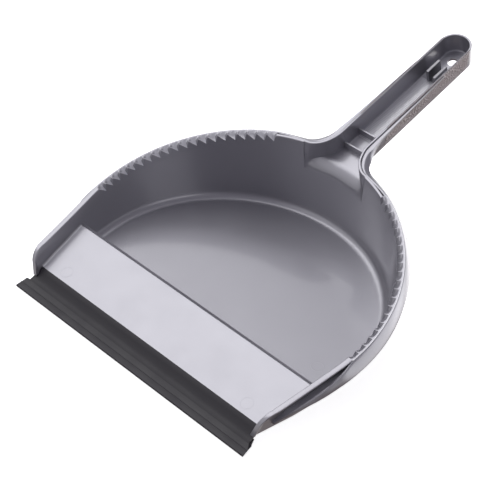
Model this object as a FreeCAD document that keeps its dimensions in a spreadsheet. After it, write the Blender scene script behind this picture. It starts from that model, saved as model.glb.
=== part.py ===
"""Dustpan: a thin moulded pan with a ramp, a comb-edged rim, an outer skirt and a channel handle, and a
rubber lip pressed over the front edge. Millimetres. While it is built, y = 0 is the front edge of the lip,
+Y runs back along the handle and z = 0 is the ground; the last step moves the origin to the middle."""

import FreeCAD
import Part

import math
import os

Vec = FreeCAD.Vector
doc = FreeCAD.newDocument("dustpan")

# ---- driving dimensions -------------------------------------------------------------------------------

DIMENSIONS = {
    "lip_half_length": 105.0,
    "lip_front_depth": 8.6,
    "lip_rear_half": 101.2,
    "lip_back_half": 99.3,
    "lip_depth": 19.2,
    "lip_front_height": 1.4,
    "lip_back_height": 9.0,
    "lip_thickness": 1.8,
    "crest_distance": 60.0,
    "crest_height": 18.3,
    "crest_width": 2.6,
    "ramp_thickness": 2.0,
    "floor_height": 2.9,
    "floor_corner": 6.0,
    "base_radius": 106.0,
    "base_centre": 92.2,
    "wall_growth": 0.24,
    "wall_thickness": 2.0,
    "front_taper": 6.0,
    "wall_front": 12.5,
    "wall_front_low": 5.0,
    "wall_foot_back": 46.0,
    "corner_front": 13.8,
    "corner_back": 25.0,
    "corner_drop": 10.5,
    "rim_front": 18.0,
    "rim_middle": 38.8,
    "rim_back": 69.9,
    "rim_length": 210.0,
    "band_width": 3.6,
    "tooth_depth": 4.7,
    "tooth_count": 20.0,
    "tooth_lean": 0.71,
    "comb_first": -1.0,
    "comb_last": 67.0,
    "skirt_thickness": 1.25,
    "shelf_thickness": 1.2,
    "rise_angle": 16.0,
    "handle_half": 12.35,
    "handle_length": 110.3,
    "handle_depth": 15.6,
    "handle_wall": 1.6,
    "handle_floor": 1.6,
    "handle_draft": 4.0,
    "neck_radius": 20.0,
    "neck_blend": 11.0,
    "neck_centre": 3.7,
    "neck_turn": 13.0,
    "neck_root": -34.0,
    "eye_radius": 3.7,
    "eye_back": 2.9,
    "rib_front": 2.2,
    "rib_rear": 17.3,
    "rib_height": 5.2,
    "rib_thickness": 1.2,
    "prong_start": 83.2,
    "prong_length": 14.0,
    "prong_width": 2.4,
    "prong_gap": 3.2,
    "prong_tall": 9.6,
    "prong_short": 6.2,
}

sheet = doc.addObject("Spreadsheet::Sheet", "Dimensions")
for row, (alias, value) in enumerate(DIMENSIONS.items(), start=1):
    sheet.set(f"A{row}", alias)
    sheet.set(f"B{row}", str(value))
    sheet.setAlias(f"B{row}", alias)
doc.recompute()


def size(alias):
    """The value of one cell of the sheet."""
    return float(getattr(sheet, alias))


# ---- the shape of the tub ------------------------------------------------------------------------------
# The moulding draws out of its tool square to the rim, so each level of the tub is the same outline,
# a little larger and a little further forward than the one below it: an arc with two straight sides
# that close in towards the front.

TUB_TOP = 88.0
FRONT = -12.0
HALF_SPACE = 160.0
TAPER = math.radians(size("front_taper"))
RISE = math.tan(math.radians(size("rise_angle")))


def outline_at(height, outward):
    """Radius and centre of the tub's arc at a height, moved outward."""
    above = height - size("floor_height")
    radius = size("base_radius") + size("wall_growth") * above + outward
    return radius, size("base_centre") - RISE * above


def side_point(distance, height, outward):
    """Point of the straight side at a distance from the front."""
    radius, centre = outline_at(height, outward)
    run = centre - radius * math.sin(TAPER) - distance
    return Vec(radius * math.cos(TAPER) - math.tan(TAPER) * run, distance, height)


def arc_point(angle, height, outward):
    """Point of the arc at an angle from +X, in degrees."""
    radius, centre = outline_at(height, outward)
    turn = math.radians(angle)
    return Vec(radius * math.cos(turn), centre + radius * math.sin(turn), height)


def mirrored(point):
    return Vec(-point.x, point.y, point.z)


def tub_outline(height, outward):
    start = arc_point(-size("front_taper"), height, outward)
    front = side_point(FRONT, height, outward)
    edges = [
        Part.LineSegment(front, start),
        Part.Arc(start, arc_point(90, height, outward), mirrored(start)),
        Part.LineSegment(mirrored(start), mirrored(front)),
        Part.LineSegment(mirrored(front), front),
    ]
    return Part.Wire([edge.toShape() for edge in edges])


def tub_volume(outward, bottom, corner):
    """The tub as one solid block, its lower edge rounded."""
    block = Part.makeLoft([tub_outline(bottom, outward), tub_outline(TUB_TOP, outward)], True, True)
    foot = [
        edge
        for edge in block.Edges
        if abs(edge.BoundBox.ZMin - bottom) < 0.01
        and abs(edge.BoundBox.ZMax - bottom) < 0.01
        and edge.BoundBox.YMax > 0
    ]
    return block.makeFillet(corner, foot)


def rim_height(distance):
    """Height of the rim at a distance from the front: a parabola through three points."""
    half = size("rim_length") / 2
    first = (size("rim_middle") - size("rim_front")) / half
    second = (size("rim_back") - size("rim_middle")) / half
    bend = (second - first) / size("rim_length")
    return size("rim_front") + first * distance + bend * distance * (distance - half)


def rim_point(place, outward):
    """Point where the tub's side meets the rim's height: place gives a point at a height and offset."""
    height = size("rim_middle")
    for _ in range(12):
        height = rim_height(place(height, outward).y)
    return place(height, outward)


def side_prism(points, reach=160.0):
    """A prism across the whole width, from its outline seen from the side as (distance, height)."""
    corners = [Vec(-reach, distance, height) for distance, height in points]
    face = Part.Face(Part.makePolygon(corners + corners[:1]))
    return face.extrude(Vec(2 * reach, 0, 0))


def above_rim(lift):
    """Everything above the rim's curve, moved up by lift, as far back as the handle."""
    stations = [FRONT - 1, 0, 35, 70, 105, 140, 175, size("rim_length")]
    curve = Part.BSplineCurve()
    curve.interpolate([Vec(-160, y, rim_height(y) + lift) for y in stations])
    last = curve.EndPoint
    first = curve.StartPoint
    top = [last, Vec(-160, last.y, 150), Vec(-160, first.y, 150), first]
    edges = [curve.toShape()] + [Part.makeLine(a, b) for a, b in zip(top, top[1:])]
    return Part.Face(Part.Wire(edges)).extrude(Vec(320, 0, 0))


# ---- the handle's frame ---------------------------------------------------------------------------------
# The handle rises with the back of the rim. Its own frame has its origin on the rim plane, where the
# rim's curve ends, local y along the handle and local z square to it.

NECK_CENTRE = size("neck_centre")
NECK_TURN = math.radians(size("neck_turn"))
HANDLE_FRAME = FreeCAD.Placement(
    Vec(0, size("rim_length"), size("rim_back")),
    FreeCAD.Rotation(Vec(1, 0, 0), size("rise_angle")),
)


def handle_outline(height, inset):
    """The handle seen along its own z: a slot with a round end, whose sides flare into the pan."""
    half = size("handle_half") - inset
    flare = size("neck_radius") + inset
    end = size("handle_length")
    centre = Vec(half + flare, NECK_CENTRE, height)
    foot = Vec(centre.x - flare * math.sin(NECK_TURN), centre.y - flare * math.cos(NECK_TURN), height)
    middle_turn = (math.pi / 2 + NECK_TURN) / 2
    middle = Vec(centre.x - flare * math.sin(middle_turn), centre.y - flare * math.cos(middle_turn), height)
    side = Vec(half, NECK_CENTRE, height)
    tip = Vec(half, end, height)
    root = Vec(foot.x, size("neck_root"), height)
    edges = [
        Part.LineSegment(root, foot),
        Part.Arc(foot, middle, side),
        Part.LineSegment(side, tip),
        Part.Arc(tip, Vec(0, end + half, height), mirrored(tip)),
        Part.LineSegment(mirrored(tip), mirrored(side)),
        Part.Arc(mirrored(side), mirrored(middle), mirrored(foot)),
        Part.LineSegment(mirrored(foot), mirrored(root)),
        Part.LineSegment(mirrored(root), root),
    ]
    return Part.Wire([edge.toShape() for edge in edges])


def handle_volume(top, bottom, inset):
    """The handle as one solid block with drafted sides, in the pan's frame."""
    lean = math.tan(math.radians(size("handle_draft")))
    wires = [handle_outline(top, inset - lean * top), handle_outline(bottom, inset - lean * bottom)]
    block = Part.makeLoft(wires, True, True)
    block.Placement = HANDLE_FRAME
    return block


def neck_round(outward, depth, inset, radius):
    """The rounded mouth of the handle: a wedge between its floor and the pan's back wall."""
    reach, centre = outline_at(size("floor_height"), outward)
    foot = Vec(0, centre + reach, size("floor_height"))
    down = Vec(0, RISE - size("wall_growth"), -1).normalize()
    start = HANDLE_FRAME.multVec(Vec(0, 0, -depth))
    along = HANDLE_FRAME.Rotation.multVec(Vec(0, 1, 0))
    gap = foot - start
    run = (gap.y * down.z - gap.z * down.y) / (along.y * down.z - along.z * down.y)
    corner = start + along * run
    half_turn = along.getAngle(down) / 2
    middle = (along + down).normalize()
    one = corner + along * (radius / math.tan(half_turn))
    two = corner + down * (radius / math.tan(half_turn))
    nearest = corner + middle * (radius / math.sin(half_turn) - radius)
    edges = [Part.makeLine(corner, one), Part.Arc(one, nearest, two).toShape(), Part.makeLine(two, corner)]
    wedge = Part.Face(Part.Wire(edges))
    wedge.translate(Vec(-60, 0, 0))
    return wedge.extrude(Vec(120, 0, 0)).common(handle_volume(0.0, -60.0, inset))


def add_part(name, shape):
    """Adds a sub-part whose shape comes from Part's own functions."""
    feature = doc.addObject("Part::Feature", name)
    feature.Label = name
    feature.Shape = shape
    sub_parts.append(feature)
    return feature


sub_parts = []

# ---- pan tub and handle: one thin moulding, divided at the neck -----------------------------------------

wall = size("wall_thickness")
outer_tub = tub_volume(wall, 0.0, size("floor_corner") + wall)
inner_tub = tub_volume(0.0, size("floor_height"), size("floor_corner"))
channel_depth = size("handle_depth") - size("handle_floor")
shelf = size("handle_wall")
outer_block = outer_tub.fuse(
    [
        handle_volume(0.0, -size("handle_depth"), 0.0),
        neck_round(wall, size("handle_depth"), 0.0, size("neck_blend") - size("handle_floor")),
    ]
)
inner_block = inner_tub.fuse(
    [
        handle_volume(9.0, -channel_depth, shelf),
        neck_round(0.0, channel_depth, shelf, size("neck_blend")),
    ]
)
shell = outer_block.cut(inner_block).cut(above_rim(0.0))

# The ramp spans the front, so the floor stops under its crest and the sides run on alone.
ramp_back = size("crest_distance") + size("crest_width")

def front_space(back):
    """All the space between the walls' front edge, with its rounded upper corner, and a distance."""
    top = Vec(-HALF_SPACE, size("corner_back"), rim_height(size("corner_back")))
    low = Vec(-HALF_SPACE, size("corner_front"), top.z - size("corner_drop"))
    diagonal = math.cos(math.radians(45))
    middle = Vec(-HALF_SPACE, top.y - (top.y - low.y) * diagonal, low.z + (top.z - low.z) * diagonal)
    corners = [
        top,
        Vec(-HALF_SPACE, size("corner_back"), 2 * TUB_TOP),
        Vec(-HALF_SPACE, back, 2 * TUB_TOP),
        Vec(-HALF_SPACE, back, 0),
        Vec(-HALF_SPACE, size("wall_foot_back"), 0),
        Vec(-HALF_SPACE, size("wall_front"), size("wall_front_low")),
        low,
    ]
    edges = [Part.makeLine(a, b) for a, b in zip(corners, corners[1:])]
    edges.append(Part.Arc(low, middle, top).toShape())
    return Part.Face(Part.Wire(edges)).extrude(Vec(2 * HALF_SPACE, 0, 0))


side_walls = Part.makeLoft([tub_outline(0.0, wall), tub_outline(TUB_TOP, wall)], True, True)
open_inside = Part.makeLoft([tub_outline(-5.0, 0.0), tub_outline(TUB_TOP, 0.0)], True, True)
side_walls = side_walls.cut(open_inside).cut(above_rim(0.0)).common(front_space(ramp_back))
behind_ramp = side_prism([(ramp_back, -5), (ramp_back, 120), (400, 120), (400, -5)])
moulding = shell.common(behind_ramp).fuse(side_walls).removeSplitter()

handle_region = Part.makeBox(80, 160, 80, Vec(-40, NECK_CENTRE, -60))
handle_region.Placement = HANDLE_FRAME

# ---- comb edge: two toothed bands on the rim, for pulling hair out of a brush ---------------------------

pitch = (size("comb_last") - size("comb_first")) / size("tooth_count")


def outline_point(angle, height, outward):
    """Point of the whole outline, the arc and the straight side before it, by angle."""
    before = -size("front_taper") - angle
    if before <= 0:
        return arc_point(angle, height, outward)
    start = arc_point(-size("front_taper"), height, outward)
    run = math.radians(before) * size("base_radius")
    return start - Vec(math.sin(TAPER), math.cos(TAPER), 0) * run


def rim_at(angle, outward):
    return rim_point(lambda height, reach: outline_point(angle, height, reach), outward)


def lifted(point, rise):
    return Vec(point.x, point.y, point.z + rise)


def closed_face(points):
    return Part.makePolygon(points + points[:1])


def tooth_cutter(angle):
    """One sawtooth notch: deep at the inner face of the rim, running out to nothing at its outer edge."""
    wires = []
    for outward, depth in ((-1.0, size("tooth_depth") * 1.25), (size("band_width") - 0.3, 0.3)):
        first = rim_at(angle, outward)
        last = rim_at(angle + pitch, outward)
        valley = first + (last - first) * size("tooth_lean")
        ring = [first, lifted(valley, -depth), last, lifted(last, 4), lifted(first, 4)]
        wires.append(closed_face(ring))
    return Part.makeLoft(wires, True, True)


def sector(first, last):
    """A wedge of space between two angles of the outline, tall enough for the rim."""
    inner = [outline_point(angle, size("rim_middle"), -25) for angle in (first, (first + last) / 2, last)]
    outer = [outline_point(angle, size("rim_middle"), 40) for angle in (last, (first + last) / 2, first)]
    ring = [Vec(point.x, point.y, -5) for point in inner + outer]
    return Part.Face(closed_face(ring)).extrude(Vec(0, 0, 110))


def rim_strip(width, depth, first, last):
    """A strip along the right-hand rim, of a width from the inner face, between two angles."""
    outer = Part.makeLoft([tub_outline(5.0, width), tub_outline(TUB_TOP, width)], True, True)
    strip = outer.cut(open_inside).cut(above_rim(0.0)).common(above_rim(-depth))
    return strip.common(sector(first, last))


band = rim_strip(size("band_width"), size("tooth_depth") + 1.6, size("comb_first"), size("comb_last"))
notches = [tooth_cutter(size("comb_first") + pitch * index) for index in range(int(size("tooth_count")))]
comb_right = max(band.cut(notches).Solids, key=lambda solid: solid.Volume)
mirror_base = Vec(0, 0, 0)
mirror_normal = Vec(1, 0, 0)
comb_left = comb_right.mirror(mirror_base, mirror_normal)
moulding = moulding.cut([band, band.mirror(mirror_base, mirror_normal)])

add_part("handle_channel", moulding.common(handle_region))
add_part("pan_tub", moulding.cut(handle_region))
add_part("comb_edge_right", comb_right)
add_part("comb_edge_left", comb_left)

# ---- outer skirt: a thin apron that hangs outward from the rim ------------------------------------------


# The skirt's upper and lower edges, as (outward, below the rim) from the inner face of the rim. It leaves
# the comb's front end and slopes down along the wall, and it closes in on the handle past the neck.
SKIRT_EDGES = (
    (-34.5, (0.2, 12.4), (0.3, 13.2)),
    (-31.0, (2.3, 9.4), (2.6, 10.6)),
    (-28.0, (3.7, 7.9), (4.3, 9.3)),
    (-24.0, (4.4, 7.1), (5.2, 9.7)),
    (-19.0, (5.2, 6.6), (6.2, 10.3)),
    (-13.5, (5.6, 6.1), (7.1, 10.2)),
    (-5.0, (5.3, 3.2), (8.0, 9.2)),
    (-1.0, (3.8, 0.4), (8.2, 8.8)),
    (15.0, (3.8, 0.4), (8.2, 9.6)),
    (45.0, (3.8, 0.4), (8.2, 8.5)),
    (67.0, (3.8, 0.4), (8.2, 6.6)),
    (76.9, (3.6, 0.6), (6.6, 3.2)),
)
# Beside the neck, by share of its turn, and then by distance along the handle, both from its outer face.
NECK_EDGES = (
    (0.0, (1.6, 0.6), (4.6, 3.2)),
    (0.25, (1.6, 0.8), (5.0, 2.9)),
    (0.6, (2.4, 0.9), (6.6, 3.9)),
    (0.8, (3.0, 0.8), (6.2, 4.4)),
    (1.0, (3.4, 0.6), (4.8, 4.6)),
)
HANDLE_EDGES = ((8.0, (3.0, 0.5), (3.4, 3.6)), (14.0, (2.4, 0.4), (2.6, 2.4)), (30.0, (1.7, 0.4), (1.9, 1.9)))
HANDLE_EDGES += ((60.0, (0.9, 0.4), (1.0, 1.6)), (84.0, (0.3, 0.4), (0.35, 1.4)))
SHELF_SHARE = 0.6
IN_THE_WALL = 0.8


def between(edges, place):
    """Upper and lower edge at a place, read from a list of them."""
    for (start, *one), (stop, *two) in zip(edges, edges[1:]):
        if place <= stop:
            part = max(0.0, (place - start) / (stop - start))
            return [tuple(a + (b - a) * part for a, b in zip(first, last)) for first, last in zip(one, two)]
    return list(edges[-1][1:])


def ring_beside(base, way, corners):
    """Closed upright section from corners given as (outward, below the rim)."""
    ring = []
    for outward, below in corners:
        point = base + way * outward
        ring.append(Vec(point.x, point.y, rim_height(min(point.y, size("rim_length"))) + past_rim(point.y) - below))
    return closed_face(ring)


def past_rim(distance):
    """Climb of the handle's plane behind the end of the rim's curve."""
    return RISE * max(0.0, distance - size("rim_length"))


def skirt_ring(angle):
    """The skirt's section at an angle: a sloping apron and the shelf that carries it."""
    top, low = between(SKIRT_EDGES, angle)
    facing = math.radians(max(angle, -size("front_taper")))
    way = Vec(math.cos(facing), math.sin(facing), 0)
    shelf = top[1] + SHELF_SHARE * (low[1] - top[1])
    thick = size("skirt_thickness")
    at_shelf = top[0] + SHELF_SHARE * (low[0] - top[0]) - thick
    under = shelf + size("shelf_thickness")
    wall_at = wall + under * (RISE * math.sin(facing) - size("wall_growth")) - IN_THE_WALL
    corners = [top, low, (low[0] - thick, low[1] + 0.4), (at_shelf, under), (wall_at, under), (wall_at, shelf)]
    corners += [(at_shelf, shelf), (top[0] - thick, top[1] + 0.3)]
    return ring_beside(rim_at(angle, 0), way, corners)


def flange_ring(base, way, top, low):
    """A solid section beside the neck or the handle."""
    return ring_beside(base, way, [top, low, (-IN_THE_WALL, low[1] + 0.4), (-IN_THE_WALL, top[1])])


def neck_rings():
    """Sections round the neck's turn, then along the side of the handle."""
    centre = HANDLE_FRAME.multVec(Vec(size("handle_half") + size("neck_radius"), NECK_CENTRE, 0))
    rings = []
    for step in range(9):
        part = step / 8
        turn = math.pi + (1 - part) * (math.pi / 2 - NECK_TURN)
        way = Vec(math.cos(turn), math.sin(turn), 0)
        rings.append(flange_ring(centre + way * size("neck_radius"), way * -1, *between(NECK_EDGES, part)))
    for distance, top, low in HANDLE_EDGES:
        base = HANDLE_FRAME.multVec(Vec(size("handle_half"), distance, 0))
        rings.append(flange_ring(base, Vec(1, 0, 0), top, low))
    return rings


def even_steps(first, last, count):
    return [first + (last - first) * step / count for step in range(count + 1)]


front_angles = [edge[0] for edge in SKIRT_EDGES if edge[0] <= size("comb_first")]
comb_angles = even_steps(size("comb_first"), size("comb_last"), 12)[1:]
back_angles = even_steps(size("comb_last"), SKIRT_EDGES[-1][0], 3)[1:]
apron = Part.makeLoft([skirt_ring(angle) for angle in front_angles + comb_angles + back_angles], True, True)
flange = Part.makeLoft(neck_rings(), True, True)
skirt_blank = apron.fuse(flange).cut([outer_block, band])
skirt_right = max(skirt_blank.Solids, key=lambda solid: solid.Volume)
add_part("skirt_right", skirt_right)
add_part("skirt_left", skirt_right.mirror(mirror_base, mirror_normal))

# ---- entry ramp and rubber lip ---------------------------------------------------------------------------

ramp_slope = (size("crest_height") - size("lip_back_height")) / (size("crest_distance") - size("lip_depth"))
lip_top = [(0.0, size("lip_front_height")), (size("lip_front_depth"), 3.0), (13.4, 5.2)]
lip_top.append((size("lip_depth"), size("lip_back_height")))
tongue_top = [(9.6, 1.9), (13.6, 3.6), (size("lip_depth"), size("lip_back_height") - size("lip_thickness"))]
tongue_low = [(9.6, 1.0), (14.0, 2.2)]
under = size("ramp_thickness")
ramp_profile = tongue_top + [
    (size("lip_depth"), size("lip_back_height")),
    (size("crest_distance"), size("crest_height")),
    (ramp_back, size("crest_height") - 0.6),
    (ramp_back, 0.0),
    (ramp_back - under, 0.0),
    (ramp_back - under, size("crest_height") - under - 0.6),
    (size("lip_depth") + 1, size("lip_back_height") - under + ramp_slope),
    tongue_low[1],
    tongue_low[0],
]
add_part("entry_ramp", side_prism(ramp_profile).common(open_inside))

lip_profile = lip_top + [tongue_top[2], tongue_top[1], tongue_top[0], tongue_low[0], tongue_low[1]]
lip_profile += [(14.4, 1.1), (9.0, 0.0), (0.0, 0.0)]
lip_plan = [
    (size("lip_half_length"), 0.0),
    (size("lip_half_length") - 0.4, size("lip_front_depth")),
    (size("lip_rear_half"), size("lip_front_depth") + 0.9),
    (size("lip_rear_half"), size("lip_front_depth") + 3.0),
    (size("lip_back_half"), size("lip_depth")),
]
lip_ring = [Vec(x, y, -5) for x, y in lip_plan] + [Vec(-x, y, -5) for x, y in reversed(lip_plan)]
lip_blank = Part.Face(closed_face(lip_ring)).extrude(Vec(0, 0, 30))
add_part("rubber_lip", side_prism(lip_profile).common(lip_blank).cut(side_walls))

# ---- inside the handle: two stiffening ribs and the clip that holds the brush ----------------------------

inner_half = "Dimensions.handle_half - Dimensions.handle_wall - tan(Dimensions.handle_draft * 1 deg) * "
foot_half = inner_half + "(Dimensions.handle_depth - Dimensions.handle_floor)"
top_half = inner_half + "(Dimensions.handle_depth - Dimensions.handle_floor - Dimensions.rib_height)"
for name, place in (("cross_rib_front", "rib_front"), ("cross_rib_rear", "rib_rear")):
    rib = doc.addObject("Part::Wedge", name)
    rib.Label = name
    for edge, half in (("X", foot_half), ("X2", top_half)):
        rib.setExpression(f"{edge}min", f"-({half})")
        rib.setExpression(f"{edge}max", half)
    rib.setExpression("Ymax", "Dimensions.rib_height")
    rib.Ymin = 0
    for edge in ("Zmax", "Z2max"):
        rib.setExpression(edge, "Dimensions.rib_thickness")
    rib.Zmin = 0
    rib.Z2min = 0
    start = Vec(0, size(place) + size("rib_thickness"), -channel_depth)
    rib.Placement = HANDLE_FRAME.multiply(FreeCAD.Placement(start, FreeCAD.Rotation(Vec(1, 0, 0), 90)))
    sub_parts.append(rib)

gap_half = size("prong_gap") / 2
for name, left, tall in (
    ("brush_clip_prong_tall", -gap_half - size("prong_width"), "prong_tall"),
    ("brush_clip_prong_short", gap_half, "prong_short"),
):
    corner = Vec(left, size("prong_start"), -channel_depth)
    prong = doc.addObject("Part::Box", name)
    prong.Label = name
    prong.setExpression("Length", "Dimensions.prong_width")
    prong.setExpression("Width", "Dimensions.prong_length")
    prong.setExpression("Height", f"Dimensions.{tall}")
    prong.Placement = HANDLE_FRAME.multiply(FreeCAD.Placement(corner, FreeCAD.Rotation()))
    sub_parts.append(prong)

eye_centre = Vec(0, size("handle_length") - size("eye_back"), -30)
eye = Part.makeCylinder(size("eye_radius"), 60, eye_centre)
eye.Placement = HANDLE_FRAME
channel = sub_parts[0]
channel.Shape = channel.Shape.cut(eye)
doc.recompute()

# ---- origin to the middle of the footprint, then write ---------------------------------------------------

boxes = [item.Shape.optimalBoundingBox(True, False) for item in sub_parts]
middle = (min(box.YMin for box in boxes) + max(box.YMax for box in boxes)) / 2
to_middle = FreeCAD.Placement(Vec(0, -middle, 0), FreeCAD.Rotation())
for item in sub_parts:
    item.Placement = to_middle.multiply(item.Placement)
doc.recompute()

os.makedirs("parts", exist_ok=True)
for item in sub_parts:
    if "Invalid" in item.State or "Error" in item.State:
        raise RuntimeError(f"{item.Label} did not recompute")
    if item.Shape.isNull() or not item.Shape.isValid() or len(item.Shape.Solids) != 1:
        raise RuntimeError(f"{item.Label} is not one valid solid")
    item.Shape.exportStep(f"parts/{item.Label}.step")
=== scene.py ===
"""Dust pan: a silver-grey moulding with comb-toothed rims and a channel handle, and a black rubber lip.

Shapes are worked out in millimetres in the pan's own layout: y = 0 is the front edge of the lip, z = 0 is
the ground and x = 0 is the middle plane. metres() turns them into the frame's coordinates."""

import math

import bmesh
import bpy
from mathutils import Matrix, Vector


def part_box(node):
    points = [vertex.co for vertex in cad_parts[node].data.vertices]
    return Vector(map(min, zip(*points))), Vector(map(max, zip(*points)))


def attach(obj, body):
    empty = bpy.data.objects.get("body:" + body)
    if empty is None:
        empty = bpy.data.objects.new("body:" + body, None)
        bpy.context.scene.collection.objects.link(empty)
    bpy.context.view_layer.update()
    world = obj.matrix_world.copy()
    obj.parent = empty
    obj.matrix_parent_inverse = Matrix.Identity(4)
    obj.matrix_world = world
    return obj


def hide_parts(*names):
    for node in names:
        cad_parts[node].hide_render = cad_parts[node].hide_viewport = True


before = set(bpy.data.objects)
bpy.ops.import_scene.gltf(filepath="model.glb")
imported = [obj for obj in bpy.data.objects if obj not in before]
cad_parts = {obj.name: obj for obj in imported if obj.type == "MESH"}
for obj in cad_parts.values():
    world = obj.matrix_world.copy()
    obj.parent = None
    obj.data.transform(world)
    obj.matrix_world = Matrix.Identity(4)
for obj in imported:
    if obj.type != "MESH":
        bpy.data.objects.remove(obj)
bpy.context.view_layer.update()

# ---- driving dimensions, in millimetres ----------------------------------------------------------------

FRONT_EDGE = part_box("rubber_lip")[0].y * 1000
FLOOR = 2.9
FLOOR_CORNER = 6.0
BASE_RADIUS = 106.0
BASE_CENTRE = 92.2
WALL_GROWTH = 0.24
WALL = 2.0
TAPER = math.radians(6.0)
RISE = math.radians(16.0)  # the handle's slope
SLOPE = math.tan(RISE)
RIM = (18.0, 38.8, 69.9)  # heights at the front, halfway and at the end of the rim's curve
RIM_LENGTH = 210.0
RIM_TURN = (13.8, 25.0)  # distances between which the rim's front corner is rounded
RIM_CORNER = 10.5
WALL_FRONT = 12.5
WALL_FRONT_LOW = 5.0
WALL_FRONT_LEAN = 0.2
WALL_FOOT_BACK = 46.0
STRAIGHT_RUN = 64.0  # arc length that one station of the straight side stands for
BAND = 4.1
TOOTH_DEPTH = 4.7
TOOTH_COUNT = 20
TOOTH_LEAN = 0.71
UNDER_COMB = 5.3
COMB = (-1.0, 67.0)  # first and last angle, in degrees round the base's centre
# A tooth, as (share of the pitch, share of the depth).
TOOTH_SHAPE = ((0.0, 0.0), (0.06, 0.04), (0.36, 0.5), (TOOTH_LEAN, 1.0), (0.95, 0.06))
BEAD = 3.8
BEAD_FRONT = 2.9
BEAD_HEIGHT = 2.0
CREST_DISTANCE = 60.0
CREST_HEIGHT = 18.3
RAMP_BACK = 62.6
EDGE_CURVE = 1.2
LIP_DEPTH = 19.2
LIP_BACK_HEIGHT = 9.0
HANDLE_HALF = 12.35
HANDLE_END = 110.3
HANDLE_DEPTH = 15.6
HANDLE_WALL = 1.6
DRAFT = math.tan(math.radians(4.0))
CHANNEL_DEPTH = HANDLE_DEPTH - HANDLE_WALL
NECK_RADIUS = 20.0
NECK_CENTRE = 3.7
NECK_TURN = math.radians(13.0)
NECK_BLEND = 11.0
EYE_RADIUS = 3.7
EYE_PLACE = 107.4


def metres(point):
    return Vector((point.x, point.y + FRONT_EDGE, point.z)) / 1000


def mix(a, b, part):
    return a + (b - a) * part


def spread(first, last, count):
    """count + 1 even steps from first to last."""
    return [mix(first, last, step / count) for step in range(count + 1)]


# ---- the pan's outline ---------------------------------------------------------------------------------


def outline_at(height, outward):
    above = height - FLOOR
    return BASE_RADIUS + WALL_GROWTH * above + outward, BASE_CENTRE - SLOPE * above


def arc_point(angle, height, outward):
    radius, centre = outline_at(height, outward)
    turn = math.radians(angle)
    return Vector((radius * math.cos(turn), centre + radius * math.sin(turn), height))


def side_point(distance, height, outward):
    radius, centre = outline_at(height, outward)
    run = centre - radius * math.sin(TAPER) - distance
    return Vector((radius * math.cos(TAPER) - math.tan(TAPER) * run, distance, height))


def front_end(height):
    """Distance of the side wall's sloping front end at a height."""
    return WALL_FRONT + (height - WALL_FRONT_LOW) * WALL_FRONT_LEAN


def foot_height(distance):
    """Height of the wall's lower edge, which rises towards the front."""
    return max(0.0, (WALL_FOOT_BACK - distance) * WALL_FRONT_LOW / (WALL_FOOT_BACK - WALL_FRONT))


def wall_point(station, height, outward):
    """Right half of the pan's outline. Stations below 0 run along the straight side, from -1 at its front
    end; stations from 0 up are degrees round the arc, past its start at minus the taper."""
    if station >= 0:
        return arc_point(station - math.degrees(TAPER), height, outward)
    start = arc_point(-math.degrees(TAPER), height, outward)
    return side_point(mix(start.y, front_end(height), -station), height, outward)


def station_of(angle):
    """Station of an angle round the base's centre, which may lie before the arc's start."""
    before = -math.degrees(TAPER) - angle
    if before <= 0:
        return angle + math.degrees(TAPER)
    return -math.radians(before) * BASE_RADIUS / STRAIGHT_RUN


def rim_height(distance):
    """The rim's height: a rounded front corner, a parabola, then the handle's plane."""
    if distance > RIM_LENGTH:
        return RIM[2] + SLOPE * (distance - RIM_LENGTH)
    if distance < RIM_TURN[1]:
        part = min(1.0, (RIM_TURN[1] - distance) / (RIM_TURN[1] - RIM_TURN[0]))
        return rim_height(RIM_TURN[1]) - RIM_CORNER * (1 - math.sqrt(1 - part**2))
    half = RIM_LENGTH / 2
    first = (RIM[1] - RIM[0]) / half
    bend = (RIM[2] - 2 * RIM[1] + RIM[0]) / (2 * half * half)
    return RIM[0] + first * distance + bend * distance * (distance - half)


def rim_level(station, outward):
    height = RIM[1]
    for _ in range(12):
        height = rim_height(wall_point(station, height, outward).y)
    return height


def rim_at(station, outward):
    return wall_point(station, rim_level(station, outward), outward)


def ramp_height(distance):
    part = (distance - LIP_DEPTH) / (CREST_DISTANCE - LIP_DEPTH)
    return mix(LIP_BACK_HEIGHT, CREST_HEIGHT, part)


def from_handle(x, y, z):
    """A point of the handle's own frame, which lies on the rim plane at the end of the rim's curve."""
    ahead = RIM_LENGTH + y * math.cos(RISE) - z * math.sin(RISE)
    upward = RIM[2] + y * math.sin(RISE) + z * math.cos(RISE)
    return Vector((x, ahead, upward))


# ---- meshes from patches -------------------------------------------------------------------------------


SHARP_ANGLE = 38.0


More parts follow.
